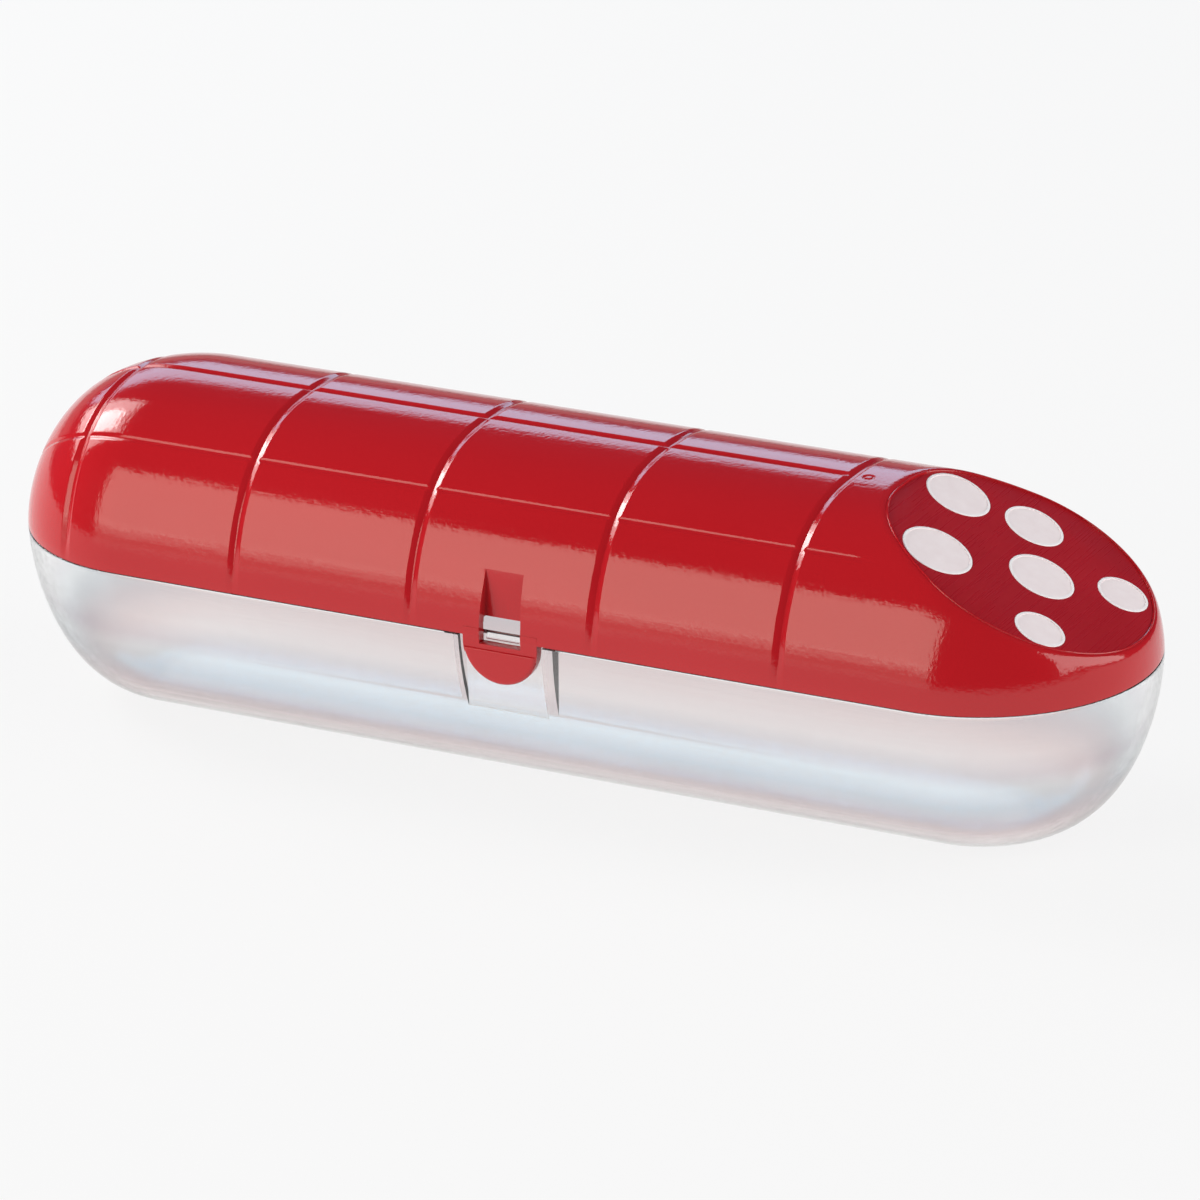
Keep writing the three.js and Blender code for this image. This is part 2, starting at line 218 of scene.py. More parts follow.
def lofted(name, rows):
    """A closed solid through closed rows of points, with a flat face on the first and the last."""
    count = len(rows[0])
    numbers = np.arange(count * len(rows)).reshape(len(rows), count)
    faces = [numbers[0], numbers[-1]]
    for first, second in zip(numbers, numbers[1:]):
        faces += strip(first, second, closed=True)
    faces = [tuple(map(int, face)) for face in faces]
    return face_outwards(mesh_object(name, np.concatenate(rows), faces))


# ---- The shells' curved surfaces ----


def profile_distance(shell, inward, height):
    """How far from the spine a shell's wall is at a height from the seam."""
    level = 1 - np.clip(height / (shell["height"] - inward), 0, 1) ** shell["height_power"]
    reach = HALF_WIDTH - shell["flat"] - inward
    return shell["flat"] + reach * level ** (1 / shell["width_power"])


def surface_radius(inward, foot, x, angle):
    """How far the lid's surface is from the line along X at height `foot`, at an angle from upright."""
    beyond = np.maximum(np.abs(x) - HALF_SPINE, 0)
    inside = np.zeros(np.broadcast(x, angle).shape)
    outside = inside + HALF_WIDTH + LID["height"]
    for _ in range(HALVINGS):
        radius = (inside + outside) / 2
        distance = np.hypot(beyond, radius * np.sin(angle))
        height = foot + radius * np.cos(angle)
        level = (distance / (HALF_WIDTH - inward)) ** LID["width_power"]
        level += (height / (LID["height"] - inward)) ** LID["height_power"]
        inside = np.where(level < 1, radius, inside)
        outside = np.where(level < 1, outside, radius)
    return inside


def surface_normal(inward, points):
    """Outward unit normals of the lid's surface."""
    spine_x = np.clip(points[..., 0], -HALF_SPINE, HALF_SPINE)
    across = np.stack([points[..., 0] - spine_x, points[..., 1]], axis=-1)
    distance = np.maximum(np.linalg.norm(across, axis=-1), 1e-6)
    height = np.maximum(points[..., 2], 1e-6)
    wide, tall = LID["width_power"], LID["height_power"]
    outwards = wide * (distance / (HALF_WIDTH - inward)) ** (wide - 1) / (HALF_WIDTH - inward)
    upwards = tall * (height / (LID["height"] - inward)) ** (tall - 1) / (LID["height"] - inward)
    normal = np.concatenate([across * (outwards / distance)[..., None], upwards[..., None]], axis=-1)
    return normal / np.linalg.norm(normal, axis=-1, keepdims=True)


class Unrolled:
    """The lid's surface laid flat in plan, with distances from the spine measured along the surface."""

    def __init__(self, inward, foot):
        heights = (LID["height"] - inward) * np.cos(np.linspace(0, math.pi / 2, 400)) ** 1.2
        self.heights = np.append(heights[heights > foot], foot)
        self.distances = profile_distance(LID, inward, self.heights)
        steps = np.hypot(np.diff(self.distances), np.diff(self.heights))
        self.lengths = np.concatenate([[0], np.cumsum(steps)])

    def flatten(self, points):
        spine_x = np.clip(points[:, 0], -HALF_SPINE, HALF_SPINE)
        across = np.stack([points[:, 0] - spine_x, points[:, 1]], axis=-1)
        distance = np.maximum(np.linalg.norm(across, axis=-1), 1e-9)
        length = np.interp(distance, self.distances, self.lengths)
        return np.stack([spine_x, 0 * spine_x], axis=-1) + across * (length / distance)[:, None]

    def restore(self, flat):
        spine_x = np.clip(flat[..., 0], -HALF_SPINE, HALF_SPINE)
        across = np.stack([flat[..., 0] - spine_x, flat[..., 1]], axis=-1)
        length = np.maximum(np.linalg.norm(across, axis=-1), 1e-9)
        distance = np.interp(length, self.lengths, self.distances)
        height = np.interp(length, self.lengths, self.heights)
        across = across * (distance / length)[..., None]
        return np.stack([spine_x + across[..., 0], across[..., 1], height], axis=-1)


# ---- Where the lid's grid lines run ----


# Steps of the lid's net, finer near a groove, and where the net ends before the slanted face. The border
# lies further along X down the sides, between the angles bend_from and bend_to, in degrees. On the inner
# skin the columns lean back from it near the crown.
GRID = {"fine": 0.22, "fine_reach": 2.0, "coarse": 2.4, "straight_to": 76.2, "typical_radius": 37,
        "border": 77.6, "border_bend": 11.4, "bend_from": 10, "bend_to": 46, "lean_from": 20,
        "inner_lean": 6.5, "growth": 0.35, "approach": 0.45}
RING_PLACES = [RINGS["first"] + i * RINGS["pitch"] for i in range(RINGS["count"])]


def spread(low, high, fine_at):
    """Places from low to high: close together near each fine_at, and further apart away from them."""
    fine, reach = GRID["fine"], GRID["fine_reach"]
    places = [low]
    while places[-1] < high:
        nearest = min(abs(places[-1] - f) for f in fine_at)
        ahead = [f - places[-1] for f in fine_at if f > places[-1]]
        step = min(GRID["coarse"], fine + GRID["growth"] * max(nearest - reach, 0))
        if ahead:
            step = min(step, max(fine, GRID["approach"] * (ahead[0] - reach)))
        places.append(places[-1] + step)
    places[-1] = high
    if places[-1] - places[-2] < 0.5 * fine:
        places.pop(-2)
    return np.array(places)


def grid_angles():
    """Angles from upright, in radians, from the front seam (-90 degrees) to the rear one."""
    typical = GRID["typical_radius"]
    quarter = math.radians(90) * typical
    fine_at = sorted(math.radians(g["angle"]) * typical for g in LENGTHWISE)
    places = spread(-quarter, quarter, fine_at)
    return places / typical


def grid_columns():
    """Places along X up to where the straight columns end. Round-end places are beyond -HALF_SPINE."""
    start = -HALF_SPINE - HALF_WIDTH * math.pi / 2
    ring_on_arc = -HALF_SPINE - HALF_WIDTH * math.asin((-RING_PLACES[0] - HALF_SPINE) / HALF_WIDTH)
    fine_at = [ring_on_arc, *RING_PLACES[1:], GATE_MARK["x"]]
    places = spread(start, GRID["straight_to"], fine_at)
    return places[1:]


def column_x(places, pole):
    """X of grid columns, where places beyond the spine's end count along the round end."""
    turn = np.clip((-places - HALF_SPINE) / HALF_WIDTH, 0, math.pi / 2)
    return np.where(places < -HALF_SPINE, -HALF_SPINE - (pole - HALF_SPINE) * np.sin(turn), places)


def smoothstep(value, low, high):
    t = np.clip((value - low) / (high - low), 0, 1)
    return t * t * (3 - 2 * t)


# ---- The lid ----


def groove_depth(x, angle, radius):
    """How deep the net's grooves are at points of the lid's surface."""
    def channel(offset, groove, to_end):
        across = np.clip(1 - np.abs(offset / groove["half_width"]) ** GROOVE_POWER, 0, 1)
        return groove["depth"] * across * smoothstep(to_end, 0, RINGS["taper"])

    end_angle = math.radians(RINGS["end_angle"])
    depth = np.zeros(np.broadcast(x, angle).shape)
    for ring_x in RING_PLACES:
        depth = np.maximum(depth, channel(x - ring_x, RINGS, (end_angle - np.abs(angle)) * radius))
    for groove in LENGTHWISE:
        sideways = radius * np.sin(angle - math.radians(groove["angle"]))
        to_end = np.minimum(x - groove["start"], groove["end"] - x)
        depth = np.maximum(depth, channel(sideways, groove, to_end))
    from_gate = np.hypot(x - GATE_MARK["x"], radius * np.sin(angle)) - GATE_MARK["radius"]
    gate = np.clip(1 - (from_gate / GATE_MARK["half_width"]) ** 2, 0, 1)
    return np.maximum(depth, gate * GATE_MARK["depth"])


def cut_height(x, deeper):
    """Height of the cut plane at x, moved `deeper` into the lid."""
    slope = CUT["slope"]
    return LID["height"] - deeper / math.cos(slope) - math.tan(slope) * (x - CUT["crown_x"])


def inward_in_cut(edge):
    """For a closed row of points on the cut plane, the unit directions that point into the outline."""
    along = np.roll(edge, -1, axis=0) - np.roll(edge, 1, axis=0)
    along /= np.linalg.norm(along, axis=1, keepdims=True)
    plane_normal = np.array([math.sin(CUT["slope"]), 0, math.cos(CUT["slope"])])
    inward = np.cross(plane_normal, along)
    towards_middle = edge.mean(axis=0) - edge
    flip = np.sign(np.einsum("ij,ij->i", inward, towards_middle))
    return inward * flip[:, None]


# The lid's mesh: its net's angles and columns, its rows and steps, and the X towards which its rays run.
ANGLES = grid_angles()
COLUMNS = grid_columns()
BORDER_ROWS = 6
END_STEPS = 84
STRAIGHT_STEPS = 5
RAY_CENTRE_X = 113
RAY_ROWS = 26
RAY_POWER = 1.5
ROUNDING_ROWS = 8


class LidSkin:
    """One of the lid's two skins. Both have the same grid, so that they join point for point.

    A net of columns along X and rows of angle covers the lid up to a border short of the slanted face.
    From the border and the end's seam, rays run inwards to the slanted face's edge."""

    def __init__(self, inward, foot, cut_depth, shift, grooved):
        self.inward, self.foot, self.cut_depth, self.shift = inward, foot, cut_depth, shift
        self.grooved = grooved
        self.pole = HALF_SPINE + profile_distance(LID, inward, foot)
        self.points = []
        self.net = self.add_net()
        self.rays = self.add_rays()

    def add(self, rows):
        """Stores an array of points and returns their numbers in the same arrangement."""
        rows = np.asarray(rows, float)
        first = sum(len(part) for part in self.points)
        self.points.append(rows.reshape(-1, 3))
        return first + np.arange(rows[..., 0].size).reshape(rows.shape[:-1])

    def on_surface(self, x, angle):
        radius = surface_radius(self.inward, self.foot, x, angle)
        place = np.stack([x + 0 * radius, radius * np.sin(angle), self.foot + radius * np.cos(angle)], -1)
        if self.grooved:
            depth = groove_depth(x, angle, radius)
            place = place - depth[..., None] * surface_normal(self.inward, place)
        return place

    def add_net(self):
        columns = column_x(COLUMNS, self.pole)
        bend = smoothstep(np.abs(ANGLES), math.radians(GRID["bend_from"]), math.radians(GRID["bend_to"]))
        border = GRID["border"] + GRID["border_bend"] * bend
        shares = np.arange(1, BORDER_ROWS + 1)[:, None] / BORDER_ROWS
        x = np.concatenate([
            np.repeat(columns[:, None], len(ANGLES), axis=1),
            columns[-1] + shares * (border[None, :] - columns[-1]),
        ])
        pull = smoothstep(x, GRID["lean_from"], GRID["border"]) * np.cos(ANGLES)[None, :]
        x = x - self.shift * pull
        places = self.on_surface(x, ANGLES[None, :])
        places[:, 0, 2] = self.foot
        places[:, -1, 2] = self.foot
        self.border_points = places[-1]
        self.pole_number = self.add([[-self.pole, 0, self.foot]])[0]
        return self.add(places)

    def add_rays(self):
        unrolled = Unrolled(self.inward, self.foot)
        rim = unrolled.lengths[-1]
        start_x = self.border_points[-1, 0]
        straight = np.linspace(start_x, HALF_SPINE, STRAIGHT_STEPS + 1)[1:]
        turn = np.linspace(math.pi / 2, -math.pi / 2, END_STEPS + 1)[1:]
        end = np.stack([HALF_SPINE + rim * np.cos(turn), rim * np.sin(turn)], -1)
        rear = np.stack([straight, 0 * straight + rim], -1)
        front = np.stack([straight[::-1][1:], 0 * straight[1:] - rim], -1)
        flat_border = unrolled.flatten(self.border_points)
        outer = np.concatenate([flat_border, rear, end, front])

        centre = np.array([RAY_CENTRE_X, 0.0])
        low, high = np.zeros(len(outer)), np.ones(len(outer))
        for _ in range(HALVINGS):
            middle = (low + high) / 2
            place = unrolled.restore(centre + middle[:, None] * (outer - centre))
            above = place[:, 2] > cut_height(place[:, 0], self.cut_depth)
            low, high = np.where(above, middle, low), np.where(above, high, middle)
        crossing = centre + low[:, None] * (outer - centre)
        edge = unrolled.restore(crossing)
        edge[:, 2] = cut_height(edge[:, 0], self.cut_depth)

        gap = np.linalg.norm(outer - crossing, axis=1)
        along = np.roll(crossing, -1, axis=0) - np.roll(crossing, 1, axis=0)
        ray = (outer - crossing) / gap[:, None]
        lean = np.abs(along[:, 0] * ray[:, 1] - along[:, 1] * ray[:, 0]) / np.linalg.norm(along, axis=1)
        wanted = ROUNDING["outside"] / np.maximum(lean, ROUNDING["least_lean"])
        start = np.minimum(wanted, ROUNDING["most_of_gap"] * gap)

        shares = np.linspace(1, 0, RAY_ROWS + 1)[1:] ** RAY_POWER
        flat = crossing + ray * (start + shares[:, None] * (gap - start))[:, :, None]
        outer_rows = unrolled.restore(flat)
        inside = edge + ROUNDING["inside"] * inward_in_cut(edge)
        t = np.linspace(0, 1, ROUNDING_ROWS + 1)[1:, None, None]
        rounded = (1 - t) ** 2 * outer_rows[-1] + 2 * t * (1 - t) * edge + t**2 * inside
        self.edge = edge

        first = np.concatenate([self.net[-1], self.add(unrolled.restore(outer[len(ANGLES):]))])
        return np.vstack([first[None, :], self.add(outer_rows), self.add(rounded)])

    def seam_loop(self):
        """Point numbers around the foot: front from left to right, round the end, and back to the pole."""
        front = self.net[:, 0]
        rear = self.net[:, -1]
        end = self.rays[0][len(ANGLES):]
        return np.concatenate([[self.pole_number], front, end[::-1], rear[::-1]])

    def faces(self):
        quads = strip([self.pole_number] * len(ANGLES), self.net[0])
        for first, second in zip(self.net, self.net[1:]):
            quads += strip(first, second)
        for first, second in zip(self.rays, self.rays[1:]):
            quads += strip(first, second, closed=True)
        return quads


def moved_from_spine(points, distance, height):
    """Points moved straight out from the spine to `distance`, at `height`."""
    spine_x = np.clip(points[:, 0], -HALF_SPINE, HALF_SPINE)
    across = np.stack([points[:, 0] - spine_x, points[:, 1]], -1)
    across *= distance / np.linalg.norm(across, axis=1, keepdims=True)
    return np.stack([spine_x + across[:, 0], across[:, 1], np.full(len(points), float(height))], -1)


def lid_body():
    """The lid's wall as one closed mesh: outer skin, seat for the plate, foot, socket and inner skin."""
    outer = LidSkin(0, HALF_GAP + EDGE, 0, 0, True)
    inner = LidSkin(LID_WALL, SOCKET["height"], CUT["wall"], GRID["inner_lean"], False)

    inward = inward_in_cut(outer.edge)
    down = -np.array([math.sin(CUT["slope"]), 0, math.cos(CUT["slope"])])
    seat_inset = PLATE["rim"]
    seat_depth = PLATE["inset"] + PLATE["thickness"] + HALF_GAP
    rim_rows = [outer.edge + BEAD["start"] * inward + BEAD["ditch"] * down]
    for turn in np.linspace(0, math.pi, 6):
        along = BEAD["start"] + 0.5 * BEAD["width"] * (1 - math.cos(turn))
        rim_rows.append(outer.edge + along * inward - BEAD["height"] * math.sin(turn) * down)
    rim_rows.append(outer.edge + seat_inset * inward + seat_depth * down)
    seat = outer.add(rim_rows)

    loop = outer.seam_loop()
    rim = np.concatenate(outer.points)[loop]
    reach = profile_distance(LID, 0, outer.foot)
    foot_rows = []
    for turn in np.radians([30, 60, 90]):
        foot_rows.append((reach - EDGE * (1 - math.cos(turn)), HALF_GAP + EDGE * (1 - math.sin(turn))))
    foot_rows += [(SOCKET["outer"], HALF_GAP), (SOCKET["outer"], SOCKET["height"])]
    foot = outer.add([moved_from_spine(rim, *row) for row in foot_rows])

    quads = outer.faces()
    quads += strip(outer.rays[-1], seat[0], closed=True)
    for first, second in zip(seat, seat[1:]):
        quads += strip(first, second, closed=True)
    quads.append(tuple(seat[-1]))
    quads += strip(loop, foot[0], closed=True)
    for first, second in zip(foot, foot[1:]):
        quads += strip(first, second, closed=True)

    outer_points = np.concatenate(outer.points)
    offset = len(outer_points)
    inner_faces = inner.faces() + [tuple(inner.rays[-1])]
    quads += [tuple(number + offset for number in face) for face in inner_faces]
    quads += strip(foot[-1], inner.seam_loop() + offset, closed=True)
    points = np.concatenate([outer_points, *inner.points])
    faces = [tuple(map(int, quad)) for quad in quads]
    return face_outwards(mesh_object("lid_moulding", points, faces)), outer.edge


def thumb_tab():
    """A tongue that ends in a half circle, with a thumb pad that stands a little proud."""
    face = -HALF_WIDTH
    half = TAB["half_width"]
    centre = (0, -TAB["straight"])
    top = HALF_GAP + TAB["root"]
    depth = centre[1] - TAB["pad_top"]
    overlap = math.degrees(math.asin(depth / half)) + TAB["overlap_angle"]
    sides = arc(centre, half, 180, 180 + overlap, 12) + arc(centre, half, 360 - overlap, 360, 12)
    outline = [*sides, (half, top), (-half, top)]
    tongue = prism("tongue", outline, "y", face + FACE_STEP, face + TAB["thickness"])

    rounding = TAB["rounding"]
    front, back = face - TAB["proud"], face + TAB["thickness"] - TAB["pad_back"]
    rows = [(rounding * (1 - math.cos(turn)), front + rounding * (1 - math.sin(turn)))
            for turn in np.radians(np.linspace(90, 0, 7))]
    rows.append((0, back))
    pad = []
    for inset, y in rows:
        radius = half - inset
        dip = math.degrees(math.asin((depth + 0.5 * inset) / radius))
        pad.append([(x, y, z) for x, z in arc(centre, radius, 180 + dip, 360 - dip, 64)])
    return combine(tongue, lofted("pad", pad), "UNION")


def window_tools():
    """The recess and the hole that show the catch."""
    w = WINDOW
    front = -HALF_WIDTH - OVERREACH
    half, top_half = w["half_width"], w["top_half"]
    outline = [
        (-half, w["hole_bottom"]),
        (half, w["hole_bottom"]),
        (half, w["hole_top"]),
        (top_half, w["top"]),
        (-top_half, w["top"]),
        (-half, w["hole_top"]),
    ]
    recess = prism("recess", outline, "y", front, w["back_y"])
    hole_back = w["back_y"] + 2 * w["wall"]
    hole = block("hole", [-half, front, w["hole_bottom"]], [half, hole_back, w["hole_top"]])
    return combine(recess, hole, "UNION")


def lid_backings():
    """The wall kept behind the window's recess and behind the tab."""
    w = WINDOW
    reach = w["half_width"] + w["wall"]
    heights = np.linspace(w["hole_top"], w["top"] + w["backing_above"], 12)
    middle = [(-profile_distance(LID, LID_WALL / 2, z), z) for z in heights]
    back_y = w["back_y"] + w["wall"]
    outline = [*middle, (back_y, heights[-1]), (back_y, heights[0])]
    behind_window = prism("behind_window", outline, "x", -reach, reach)
    reach = TAB["half_width"] + TAB["backing_side"]
    inner = -HALF_WIDTH + TAB["thickness"]
    low = [-reach, inner - TAB["backing_depth"], HALF_GAP + FACE_STEP]
    behind_tab = block("behind_tab", low, [reach, inner, SOCKET["height"] + OVERREACH])
    return behind_window, behind_tab


def hinge_ear(name, start, end, side):
    """A barrel with a web to the case wall, above the seam (side 1) or below it (side -1)."""
    wall_y = HALF_WIDTH - HINGE["web_sunk"]
    radius = HINGE["barrel"]
    barrel = arc((HINGE_Y, 0), radius, 0, 360, 48)[:-1]
    reach = radius * math.sqrt(0.5)
    web = [
        (wall_y, side * HINGE["web_gap"]),
        (HINGE_Y, side * HINGE["web_gap"]),
        (HINGE_Y + reach, side * reach),
        (HINGE_Y, side * radius * math.sqrt(2)),
        (wall_y, side * HINGE["root_depth"]),
    ]
    ear = prism(name, barrel, "x", start, end)
    ear = combine(ear, prism("web", web, "x", start, end), "UNION")
    return bevelled(ear, HINGE["bevel"], angle=50)


def hinge_bore(start, end):
    outline = arc((HINGE_Y, 0), HINGE["bore"], 0, 360, 40)[:-1]
    return prism("bore", outline, "x", start - OVERREACH, end + OVERREACH)


def hinge_places():
    """Each hinge's pin node, the X of its centre and how far the pin and the lugs reach either way."""
    places = []
    for node in PIN_NODES:
        low, high = box_mm(node)
        places.append((node, (low[0] + high[0]) / 2, (high[0] - low[0]) / 2))
    return places


def make_lid():
    lid, cut_edge = lid_body()
    for backing in lid_backings():
        combine(lid, backing, "UNION")
    combine(lid, thumb_tab(), "UNION")
    combine(lid, window_tools(), "DIFFERENCE")
    half = HINGE["knuckle"] / 2
    for _, centre, _ in hinge_places():
        combine(lid, hinge_ear("knuckle", centre - half, centre + half, 1), "UNION")
        combine(lid, hinge_bore(centre - half, centre + half), "DIFFERENCE")
    return smooth(lid), cut_edge


# ---- The plate and the discs of the slanted end ----


def cut_frame():
    """The matrix from the cut's own frame (X down the slope, Z out of the face) to millimetres."""
    turn = Matrix.Rotation(CUT["slope"], 4, "Y")
    return Matrix.Translation((CUT["crown_x"], 0, LID["height"])) @ turn


def into_cut(points):
    """Points on the cut plane in the cut's own frame, as (down, side)."""
    inverse = np.array(cut_frame().inverted())
    return (points @ inverse[:3, :3].T + inverse[:3, 3])[:, :2]


def slab(name, outline, deep, shallow, bevel):
    """A flat piece in the cut's frame with rounded upper edges."""
    turns = np.radians(np.linspace(0, 90, 4))
    rows = [(0, -deep)] + [(bevel * (1 - math.cos(t)), -shallow - bevel * (1 - math.sin(t))) for t in turns]
    outline = np.asarray(outline)
    along = np.roll(outline, -1, axis=0) - np.roll(outline, 1, axis=0)
    along /= np.linalg.norm(along, axis=1, keepdims=True)
    inward = np.stack([-along[:, 1], along[:, 0]], -1)
    inward *= np.sign(np.einsum("ij,ij->i", inward, outline.mean(axis=0) - outline))[:, None]
    matrix = np.array(cut_frame())
    layers = []
    for inset, height in rows:
        flat = outline + inset * inward
        layer = np.column_stack([flat, np.full(len(flat), height)])
        layers.append(layer @ matrix[:3, :3].T + matrix[:3, 3])
    return lofted(name, layers)


def disc_places():
    """Each disc's node, its centre in the cut's frame and its radius."""
    places = []
    for node in DISC_NODES:
        low, high = box_mm(node)
        middle = (low + high) / 2 - [0, 0, SEAM]
        places.append((node, into_cut(middle[None, :])[0], (high[1] - low[1]) / 2))
    return places


def make_plate(cut_edge):
    inset = PLATE["rim"] + PLATE["edge_gap"]
    outline = into_cut(cut_edge + inset * inward_in_cut(cut_edge))
    bottom = PLATE["inset"] + PLATE["thickness"]
    plate = slab("cut_face", outline, bottom, PLATE["inset"], PLATE["bevel"])
    for _, centre, radius in disc_places():
        hole = arc(centre, radius + DISC["gap"], 0, 360, 96)[:-1]
        combine(plate, slab("hole", hole, bottom + OVERREACH, -OVERREACH, SHARP), "DIFFERENCE")
    return smooth(plate)


def make_discs():
    discs = []
    for node, centre, radius in disc_places():
        outline = arc(centre, radius, 0, 360, 96)[:-1]
        top = PLATE["inset"] - DISC["proud"]
        disc = slab(node + "_inlay", outline, PLATE["inset"] + PLATE["thickness"], top, DISC["bevel"])
        dish_radius = radius - DISC["ring"]
        dish_outline = arc(centre, dish_radius, 0, 360, 96)[:-1]
        dish = slab("dish", dish_outline, top + DISC["dish"], top - DISC["dish"], SHARP)
        combine(disc, dish, "DIFFERENCE")
        middle = (np.array(cut_frame()) @ [*centre, 0, 1])[:3] + [0, 0, SEAM]
        offsets = [np.array(vertex.co) / MM - middle for vertex in disc.data.vertices]
        inside = [np.linalg.norm(offset) < dish_radius + DISC["dish_margin"] for offset in offsets]
        in_dish = [int(all(inside[i] for i in face.vertices)) for face in disc.data.polygons]
        discs.append((node, smooth(disc, SMALL_PART_ANGLE), in_dish))
    return discs


# ---- The tray ----


def stadium(steps):
    """Stations around the spine: the spine's X and the outward direction, counter-clockwise."""
    stations = []
    for side, first in ((1, -90), (-1, 90)):
        for turn in np.radians(np.linspace(first, first + 180, steps + 1)):
            stations.append((side * HALF_SPINE, math.cos(turn), math.sin(turn)))
    return np.array(stations)


def swept(name, profile, end_steps=56):
    """A closed solid swept round the spine by a profile of (distance, height), with flat end caps."""
    stations = stadium(end_steps)
    spine = np.column_stack([stations[:, 0], 0 * stations[:, 0], 0 * stations[:, 0]])
    out = np.column_stack([stations[:, 1], stations[:, 2], 0 * stations[:, 0]])
    return lofted(name, [spine + distance * out + [0, 0, height] for distance, height in profile])


def bowl_profile(inward, steps=44):
    """(distance, height) from the flat bottom's edge up to the seam."""
    turns = np.linspace(0, math.pi / 2, steps + 1)
    reach = HALF_WIDTH - BASE["flat"] - inward
    across = BASE["flat"] + reach * np.sin(turns) ** (2 / BASE["width_power"])
    down = -(BASE["height"] - inward) * np.cos(turns) ** (2 / BASE["height_power"])
    return list(zip(across, down))


def pocket_block(name, grow, back_y, top):
    p = POCKET
    outline = [
        (p["top_half"] + grow, top),
        (-p["top_half"] - grow, top),
        (-p["bottom_half"] - grow, p["bottom"] - p["floor_growth"] * grow),
        (p["bottom_half"] + grow, p["bottom"] - p["floor_growth"] * grow),
    ]
    return prism(name, outline, "y", -HALF_WIDTH - OVERREACH, back_y)


def catch_nose():
    c = CATCH
    root = POCKET["back_y"] + c["root"]
    outline = [(root, c["bottom"]), (root, c["top"]), (POCKET["back_y"], c["top"]),
               (c["tip_y"], c["bottom"] + c["tip_height"]), (c["tip_y"], c["bottom"])]
    return prism("catch", outline, "x", -c["half_width"], c["half_width"])


def make_tray():
    above = LIP["height"] + OVERREACH
    edge = [(HALF_WIDTH - EDGE * (1 - math.cos(t)), -HALF_GAP - EDGE * (1 - math.sin(t)))
            for t in np.radians([0, 30, 60, 90])]
    wall = [point for point in bowl_profile(0) if point[1] < -HALF_GAP - EDGE - 0.2]
    round_top = LIP["edge"]
    lip = [(LIP["outer"], -HALF_GAP)]
    lip += [(LIP["outer"] - round_top * (1 - math.cos(t)), LIP["height"] - round_top * (1 - math.sin(t)))
            for t in np.radians([0, 45, 90])]
    tray = swept("tray_moulding", wall + edge + lip)

    cavity_profile = bowl_profile(BASE_WALL)
    cavity = swept("cavity", cavity_profile + [(HALF_WIDTH - BASE_WALL, above)])
    bump = pocket_block("bump", POCKET["wall"], POCKET["back_y"] + POCKET["wall"], above + OVERREACH)
    combine(cavity, bump, "DIFFERENCE")
    combine(tray, cavity, "DIFFERENCE")
    combine(tray, pocket_block("pocket", 0, POCKET["back_y"], above), "DIFFERENCE")
    low = [-LIP_BREAK["half_width"], -HALF_WIDTH - OVERREACH, LIP_BREAK["floor"]]
    lip_break = block("lip_break", low, [LIP_BREAK["half_width"], -LIP_BREAK["depth"], above + OVERREACH])
    combine(tray, lip_break, "DIFFERENCE")
    combine(tray, catch_nose(), "UNION")
    inner = HINGE["knuckle"] / 2 + HINGE["side_gap"]
    for _, centre, reach in hinge_places():
        for start, end in ((centre - reach, centre - inner), (centre + inner, centre + reach)):
            combine(tray, hinge_ear("lug", start, end, -1), "UNION")
        combine(tray, hinge_bore(centre - reach, centre + reach), "DIFFERENCE")
    return smooth(tray)


# ---- The hinge pins ----


def make_pins():
    """Steel rods with rounded ends."""
    pins = []
    for node, centre, reach in hinge_places():
        low, high = box_mm(node)
        radius = (high[1] - low[1]) / 2
        section = arc((HINGE_Y, 0), radius, 0, 360, 40)[:-1]
        rod = prism(node + "_rod", section, "x", centre - reach, centre + reach)
        pins.append((node, smooth(bevelled(rod, HINGE["pin_bevel"]), SMALL_PART_ANGLE)))
    return pins


# ---- Materials ----


